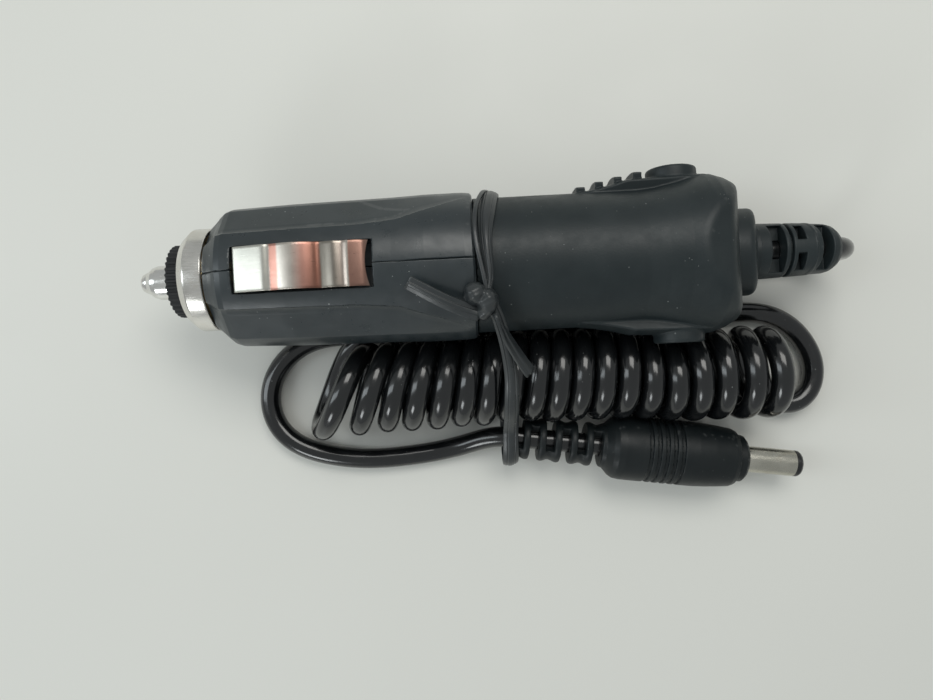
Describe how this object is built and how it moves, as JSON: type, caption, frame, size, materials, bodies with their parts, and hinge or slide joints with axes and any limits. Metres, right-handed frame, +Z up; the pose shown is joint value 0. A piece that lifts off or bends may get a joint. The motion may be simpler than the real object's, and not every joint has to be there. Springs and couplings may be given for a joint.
{
  "type": "car power plug with curly cord and dc plug",
  "caption": "Car accessory power plug with a fused screw cap, sprung side contacts, a black curly cord and a coaxial DC plug, tied in a bundle.",
  "frame": {"origin": "on the car plug's axis, inside the housing's guide band, 0.6 mm behind its middle", "axes": "+X along the plug towards the cord end, +Z up, +Y away from the coil"},
  "size_m": [0.1041, 0.0479, 0.0272],
  "materials": {
    "gloss_black": "semi-gloss",
    "matte_black": "satin",
    "nickel": "bright nickel plate",
    "brass": "satin",
    "glass": "clear",
    "fuse_metal": "satin",
    "natural_plastic": "satin",
    "spring_steel": "satin",
    "red_insulation": "satin",
    "black_insulation": "satin",
    "soft_pvc": "matte",
    "cord_jacket": "glossy",
    "tie_plastic": "semi-gloss"
  },
  "bodies": {
    "plug": {"housing_near": "gloss_black", "housing_far": "gloss_black", "nose_bush": "brass", "fuse_sleeve": "natural_plastic", "contact_spring": "spring_steel", "spring_seat": "brass", "ground_strap": "brass", "positive_lead": "red_insulation", "negative_lead": "black_insulation", "rear_grip": "soft_pvc", "strain_relief": "soft_pvc", "cord_from_plug": "cord_jacket", "cord_coil": "cord_jacket", "cord_to_dc": "cord_jacket", "dc_grip": "soft_pvc", "dc_barrel": "nickel", "dc_insulator": "matte_black", "dc_centre_contact": "brass", "dc_inner_leads": "brass", "tie_loop": "tie_plastic", "tie_knot": "tie_plastic", "tie_tails": "tie_plastic"},
    "cap_bush": {"tip_bush": "matte_black"},
    "cap": {"cap_ring": "nickel", "knurled_collar": "matte_black"},
    "tip": {"tip_contact": "nickel", "fuse_tube": "glass", "fuse_caps": "nickel", "fuse_wire": "fuse_metal"},
    "top_blade": {"top_contact": "nickel"},
    "bottom_blade": {"bottom_contact": "nickel"}
  },
  "joints": [
    {"name": "cap_advance", "type": "slide", "parent": "plug", "child": "cap_bush", "axis": [-1, 0, 0], "range_m": [0, 0.003], "deforming": ["contact_spring"]},
    {"name": "cap_turn", "type": "hinge", "parent": "cap_bush", "child": "cap", "pos_m": [-0.035, 0, 0], "axis": [-1, 0, 0], "range_deg": [0, 1080]},
    {"name": "tip_press", "type": "slide", "parent": "cap_bush", "child": "tip", "axis": [1, 0, 0], "range_m": [0, 0.002], "stiffness_N_per_m": 800, "springref_m": -0.001, "deforming": ["contact_spring"]},
    {"name": "top_contact_flex", "type": "hinge", "parent": "plug", "child": "top_blade", "pos_m": [-0.0279, 0, 0.0082], "axis": [0, 1, 0], "range_deg": [0, 10.5], "stiffness_Nm_per_rad": 0.4, "springref_deg": -2.86},
    {"name": "bottom_contact_flex", "type": "hinge", "parent": "plug", "child": "bottom_blade", "pos_m": [-0.0279, 0, -0.0082], "axis": [0, -1, 0], "range_deg": [0, 10.5], "stiffness_Nm_per_rad": 0.4, "springref_deg": -2.86}
  ],
  "couplings": [
    {"joint": "cap_advance", "follows": "cap_turn", "m_per_rad": 0.00015915}
  ]
}
